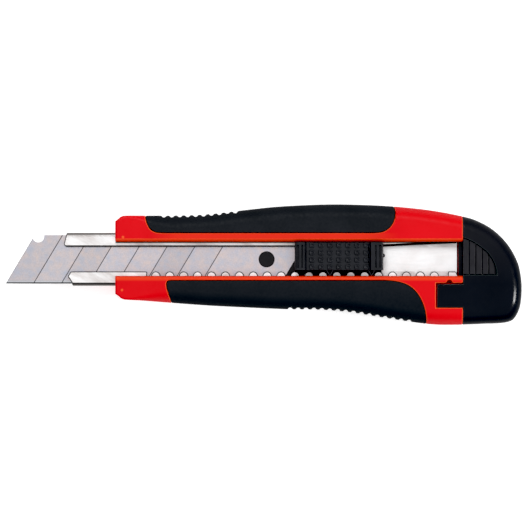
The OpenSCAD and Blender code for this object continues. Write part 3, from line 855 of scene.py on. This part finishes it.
CAP_X = SPLIT_X + FIT_GAP
CAP_WALL = 2.2
PRONG_REACH = 7
ROOT_REACH, TAB_ROOT = 12, 3  # how far behind the joint the prongs and the tab are rooted
ROOF_REACH, ROOF_SIDE, ROOF_T = 15, 2, 3.8  # the solid roof under the thumb pocket
TAB_X = CHANNEL_REAR + 0.2
CARRIER_HALF = 8.9
CARRIER_Z = CHANNEL_Z + 0.7 + FIT_GAP
CARRIER_TOP = CHANNEL_TOP - 0.7 - FIT_GAP
CAP_HOLLOW = [
    (SPLIT_X - OVERCUT, 13.4), (59, 11.2), (64.3, 7.8), (69, 2), (72.1, -4.2), (73, -10),
    (72.4, -17), (70.8, -19.8), (68, -20.6), (62, -21.1), (SPLIT_X - OVERCUT, -21.6),
]
POCKET_LINE = [
    (50, 8.4), (52.4, 8.4), (56.2, 7.2), (60, 4.9), (63.2, 2.1), (65.3, -1.4), (66.3, -4.9),
    (66.3, -5.8),
]
POCKET_DEPTH = 1.6
POCKET_DOWN = -5.8
POCKET_CORNER = Vector((CAP_X, POCKET_DOWN))
RIB_PITCH, RIB_W, RIB_H, RIB_COUNT = 2.42, 2.05, 1.15, 5
RIB_GAP, RIBS_SIZE = 0.25, 0.975  # they stop short of the pocket's walls
RIB_ROOT = 0.5  # how far they reach into the pocket's floor


def pocket(z0, z1, size=1.0):
    """The form of the thumb pocket, or a smaller one in the same corner of it."""
    points = curve(POCKET_LINE, 1, 6, 8) + [Vector(POCKET_LINE[7]), Vector((52.4, POCKET_DOWN))]
    return prism([POCKET_CORNER + (p - POCKET_CORNER) * size for p in points], z0, z1)


def thumb_rib(i):
    """One rib of the thumb pocket, leaning back a little like a saw's tooth."""
    x = CAP_X + RIB_PITCH * i
    floor = HANDLE_T - POCKET_DEPTH
    root = floor - RIB_ROOT
    side = [
        (x, root), (x + RIB_W, root), (x + RIB_W, floor + RIB_H - 0.25),
        (x + RIB_W - 0.3, floor + RIB_H - 0.08), (x, floor + RIB_H),
    ]
    ends = (POCKET_DOWN + RIB_GAP, 10)
    rib = stack("rib", [[(p[0], y, p[1]) for p in side] for y in ends])
    return combine(rib, "INTERSECT", pocket(root, HANDLE_T, RIBS_SIZE))


def make_cap(skins, rib_skin):
    inside = SPLIT_X - OVERCUT
    roots = [
        box(
            inside, SPLIT_X + ROOT_REACH, c[0] + FIT_GAP, c[1] - FIT_GAP,
            CAP_WALL / 2, c[3] - FIT_GAP,
        )
        for c in (BACK_CORE, LOWER_CORE)
    ]
    hollow = cut(
        prism(CAP_HOLLOW, CAP_WALL, HANDLE_T - CAP_WALL),
        box(
            inside, inside + ROOF_REACH, SLOT_DOWN - ROOF_SIDE, SLOT_UP + ROOF_SIDE,
            HANDLE_T - ROOF_T, HANDLE_T,
        ),
        *roots,
        box(inside, CAP_X + TAB_ROOT, -CARRIER_HALF, CARRIER_HALF, CAP_WALL / 2, CARRIER_TOP),
    )
    cap = cut(
        envelope("end_cap_shell", SPLIT_POINT, TAIL_POINT, CAP_X),
        hollow,
        pocket(HANDLE_T - POCKET_DEPTH, HANDLE_T + OVERCUT),
    )
    prongs = [
        box(
            SPLIT_X - PRONG_REACH, CAP_X + OVERCUT, c[0] + FIT_GAP, c[1] - FIT_GAP,
            c[2] + FIT_GAP, c[3] - FIT_GAP,
        )
        for c in (BACK_CORE, LOWER_CORE)
    ]
    tab = box(TAB_X, CAP_X + OVERCUT, -CARRIER_HALF, CARRIER_HALF, CARRIER_Z, CARRIER_TOP)
    tongue = box(TONGUE_X, CAP_X + OVERCUT, TONGUE_DOWN, TONGUE_UP, HANDLE_T - TONGUE_T, HANDLE_T)
    combine(cap, "UNION", *prongs, tab, tongue)
    finish_piece(cap, "end_cap_shell", "end_cap", "cap", skins, 0.2)
    ribs = [thumb_rib(i) for i in range(RIB_COUNT)]
    ribs = combine(ribs[0], "UNION", *ribs[1:])
    finish_piece(ribs, "thumb_ribs", "end_cap", "cap", (rib_skin,), 0.1)


# ---------- the thumb slider ----------

SPRUE_Y, SPRUE_DOWN, SPRUE_R = 1.4, 2, 0.75
SLIDER_X1 = SLIDER_TAIL - SPRUE_R  # the rear end, without the sprue mark
END_BLOCK_H = 0.9
FRONT_BLOCK_W, REAR_BLOCK_W = 4, 5
SLIDER_TOP = SLIDER_HIGH - END_BLOCK_H
STUD_COLUMNS, STUD_ROWS = 7, 4
STUD_PITCH_X, STUD_PITCH_Y = 3.35, 2.7
STUD_SIZE_X, STUD_SIZE_Y = 0.92, 0.97
PEG_X, PEG_Y, PEG_R, PEG_SOCKET = (-3, 13), 0.8, 1.65, 2.5
FOOT = 0.35  # the small groove at the foot of each end block


def slider_block():
    in0, in1 = SLIDER_X0 + FRONT_BLOCK_W, SLIDER_X1 - REAR_BLOCK_W
    side = [
        (SLIDER_X0, SLIDER_Z), (SLIDER_X1, SLIDER_Z), (SLIDER_X1, SLIDER_HIGH - 1.0),
        (SLIDER_X1 - 0.3, SLIDER_HIGH - 0.3), (SLIDER_X1 - 1.0, SLIDER_HIGH),
        (in1 + 0.4, SLIDER_HIGH), (in1, SLIDER_TOP), (in0, SLIDER_TOP), (in0 - 0.4, SLIDER_HIGH),
        (SLIDER_X0 + 1.0, SLIDER_HIGH), (SLIDER_X0 + 0.3, SLIDER_HIGH - 0.3),
        (SLIDER_X0, SLIDER_HIGH - 1.0),
    ]
    ends = (SLIDER_DOWN, SLIDER_UP)
    return stack("thumb_slider", [[(p[0], y, p[1]) for p in side] for y in ends])


def stud(x, y):
    """A raised stud with a rounded rim and a shallow dish in its middle."""
    profile = [
        (1.0, -0.3), (1.0, 0.2), (0.96, 0.38), (0.86, 0.5), (0.74, 0.55), (0.62, 0.5),
        (0.5, 0.3), (0.24, 0.18),
    ]
    rings = []
    for r, h in profile:
        ring = []
        for i in range(28):
            t = 2 * math.pi * i / 28
            c, s = math.cos(t), math.sin(t)
            square = (abs(c) ** 4 + abs(s) ** 4) ** -0.25  # a circle drawn towards a square
            across, along = r * c * square * STUD_SIZE_X, r * s * square * STUD_SIZE_Y
            ring.append((x + across, y + along, SLIDER_TOP + h))
        rings.append(ring)
    return stack("stud", rings)


def sprue_mark():
    """The small ball that the mould's inlet left at the slider's rear end."""
    rings = []
    for k in range(1, 12):
        t = math.pi * (k / 12 - 0.5)
        z = SLIDER_TOP - SPRUE_DOWN + SPRUE_R * math.sin(t)
        ring = circle(SLIDER_X1, SPRUE_Y, SPRUE_R * math.cos(t), 24)
        rings.append([(x, y, z) for x, y in ring])
    return stack("sprue", rings)


def make_slider(skin):
    slider = slider_block()
    middle_x, middle_y = (SLIDER_X0 + SLIDER_X1) / 2, (SLIDER_DOWN + SLIDER_UP) / 2
    grooves = [
        box(x, x + w, SLIDER_DOWN + 0.95, SLIDER_UP - 1.05, SLIDER_TOP, SLIDER_HIGH + OVERCUT)
        for x, w in (
            (SLIDER_X0 + 0.75, 0.8), (SLIDER_X0 + 2.5, 0.5),
            (SLIDER_X1 - 1.55, 0.8), (SLIDER_X1 - 3, 0.5),
        )
    ]
    sockets = [rod(x, PEG_Y, PEG_R, SLIDER_Z - OVERCUT, SLIDER_Z + PEG_SOCKET) for x in PEG_X]
    feet = [
        box(x, x + FOOT, SLIDER_DOWN - 1, SLIDER_UP + 1, SLIDER_TOP - FOOT, SLIDER_TOP + OVERCUT)
        for x in (SLIDER_X0 + FRONT_BLOCK_W, SLIDER_X1 - REAR_BLOCK_W - FOOT)
    ]
    cut(slider, *grooves, *feet, *sockets)
    studs = [
        stud(
            middle_x + STUD_PITCH_X * (i - (STUD_COLUMNS - 1) / 2),
            middle_y + STUD_PITCH_Y * (j - (STUD_ROWS - 1) / 2),
        )
        for i in range(STUD_COLUMNS)
        for j in range(STUD_ROWS)
    ]
    combine(slider, "UNION", *studs, sprue_mark())
    finish_piece(
        slider, "thumb_piece", "thumb_slider", "slider", (skin,), 0.1,
        facet=SLIDER_FACET, merge_flats=False,
    )


# ---------- the parts that keep their CAD shape ----------


def dress(node, *skins, ease=0.0):
    """Gives a CAD node its material, and eases its sharp edges."""
    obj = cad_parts[node]
    set_skins(obj, skins)
    if ease:
        obj.modifiers.new("one_skin", "WELD").merge_threshold = WELD * MM
        ease_edges(obj, ease, "ANGLE", len(skins) - 1)


# the colour of the painted glow beside the slot
GLOW_RED = (0.76, 0.045, 0.012)
red = red_plastic("red_abs", (0.64, 0.001, 0.005), (0.70, 0.003, 0.008), GLOW_RED)
# painted highlight: the housing's eased edges and gate marks are a lighter orange
red_highlight = red_plastic("red_abs_painted_highlight", (0.78, 0.07, 0.02), (0.84, 0.10, 0.03), GLOW_RED)
rubber = soft_grip()
make_housing((red, red_highlight))
make_grip("upper_grip", UPPER_GRIP_FRONT, UPPER_GRIP_REAR, UPPER_LINE, 1, UPPER_SCALLOPS, rubber)
make_grip("lower_grip", LOWER_GRIP_FRONT, LOWER_GRIP_REAR, LOWER_LINE, -1, LOWER_SCALLOPS, rubber)
cap_skins = (
    gloss_black(
        "gloss_black_abs", (0.0006, 0.002, 0.0055), (0.0018, 0.0036, 0.008),
        (0.0072, 0.0080, 0.0115),
    ),
    # painted highlight: the cap's eased edges are lighter than its body
    gloss_black(
        "gloss_black_painted_highlight", (0.018, 0.026, 0.028), (0.028, 0.038, 0.040),
        (0.036, 0.044, 0.048),
    ),
)
make_cap(cap_skins, satin_black("rib_satin", (0.016, 0.016, 0.020)))
make_slider(satin_black("slider_satin", (0.015, 0.016, 0.020)))
dress("blade", blade_steel())
dress("blade_channel", channel_steel(), cut_steel(), ease=0.3)
dress("blade_carrier", satin_black("carrier_black", (0.010, 0.010, 0.012)), ease=0.15)
dress("lock_spring", spring_steel())

# ---------- floor, light and camera ----------


FLOOR_GLOW = 0.55  # the sweep is lit from behind, so the knife hardly shades it
FLOOR_Z, FLOOR_REACH = -0.00005, 3.0


def make_floor():
    """A plain white sweep under the knife."""
    bm = bmesh.new()
    signs = (-1, -1), (1, -1), (1, 1), (-1, 1)
    bm.faces.new([bm.verts.new((FLOOR_REACH * a, FLOOR_REACH * b, FLOOR_Z)) for a, b in signs])
    mesh = bpy.data.meshes.new("floor")
    bm.to_mesh(mesh)
    bm.free()
    floor = bpy.data.objects.new("floor", mesh)
    bpy.context.scene.collection.objects.link(floor)
    f = Finish("white_floor", (0.93, 0.93, 0.93), 0.9, specular=0.1)
    f.shader.inputs["Emission Color"].default_value = (1, 1, 1, 1)
    f.shader.inputs["Emission Strength"].default_value = FLOOR_GLOW
    f.bump(f.noise(1.5, 2), 0.002, 0.1)
    mesh.materials.append(f.material)
    floor.visible_glossy = False  # the knife's edges reflect the dark of the room


def make_world(horizon, zenith):
    """Soft light from a wide sky overhead that falls off towards a dark horizon."""
    world = bpy.data.worlds.new("studio")
    bpy.context.scene.world = world
    world.use_nodes = True
    tree = world.node_tree
    background = tree.nodes["Background"]
    place = tree.nodes.new("ShaderNodeTexCoord").outputs["Generated"]
    split = tree.nodes.new("ShaderNodeSeparateXYZ")
    tree.links.new(place, split.inputs[0])
    level = tree.nodes.new("ShaderNodeMapRange")
    level.interpolation_type = "SMOOTHSTEP"
    limits = {"From Min": 0.1, "From Max": 0.85, "To Min": horizon, "To Max": zenith}
    for key, value in limits.items():
        level.inputs[key].default_value = value
    tree.links.new(split.outputs["Z"], level.inputs["Value"])
    tree.links.new(level.outputs["Result"], background.inputs["Strength"])
    background.inputs["Color"].default_value = (1, 1, 1, 1)


def area_light(name, place, target, size, watts):
    light = bpy.data.lights.new(name, "AREA")
    light.shape = "RECTANGLE"
    light.size, light.size_y = size
    light.energy = watts
    obj = bpy.data.objects.new(name, light)
    obj.location = place
    obj.rotation_euler = (Vector(target) - Vector(place)).to_track_quat("-Z", "Y").to_euler()
    bpy.context.scene.collection.objects.link(obj)


make_floor()
make_world(0.38, 0.82)
area_light("key", (-0.15, 0.65, 1.3), (-0.02, 0, 0), (0.35, 0.35), 6)
area_light("cap_highlight", (1.1, -0.12, 0.55), (0.06, 0, 0), (0.12, 0.5), 6)

PHOTO_WIDTH = 0.1966
PHOTO_CENTRE = (-0.0197, -0.0021)
PHOTO_PLANE = 0.012  # the height at which the picture is PHOTO_WIDTH wide
LENS, SENSOR = 400.0, 36.0
BLACK_LEVEL = 0.015  # the light that a dark plastic's surface gives back
camera_data = bpy.data.cameras.new("camera")
camera_data.lens = LENS
camera_data.sensor_width = SENSOR
camera_data.clip_start, camera_data.clip_end = 0.1, 20
camera = bpy.data.objects.new("camera", camera_data)
camera.location = (*PHOTO_CENTRE, PHOTO_WIDTH * LENS / SENSOR + PHOTO_PLANE)
bpy.context.scene.collection.objects.link(camera)
bpy.context.scene.camera = camera
view = bpy.context.scene.view_settings
view.view_transform = "Standard"
view.use_curve_mapping = True
view.curve_mapping.black_level = (BLACK_LEVEL,) * 3
view.curve_mapping.update()
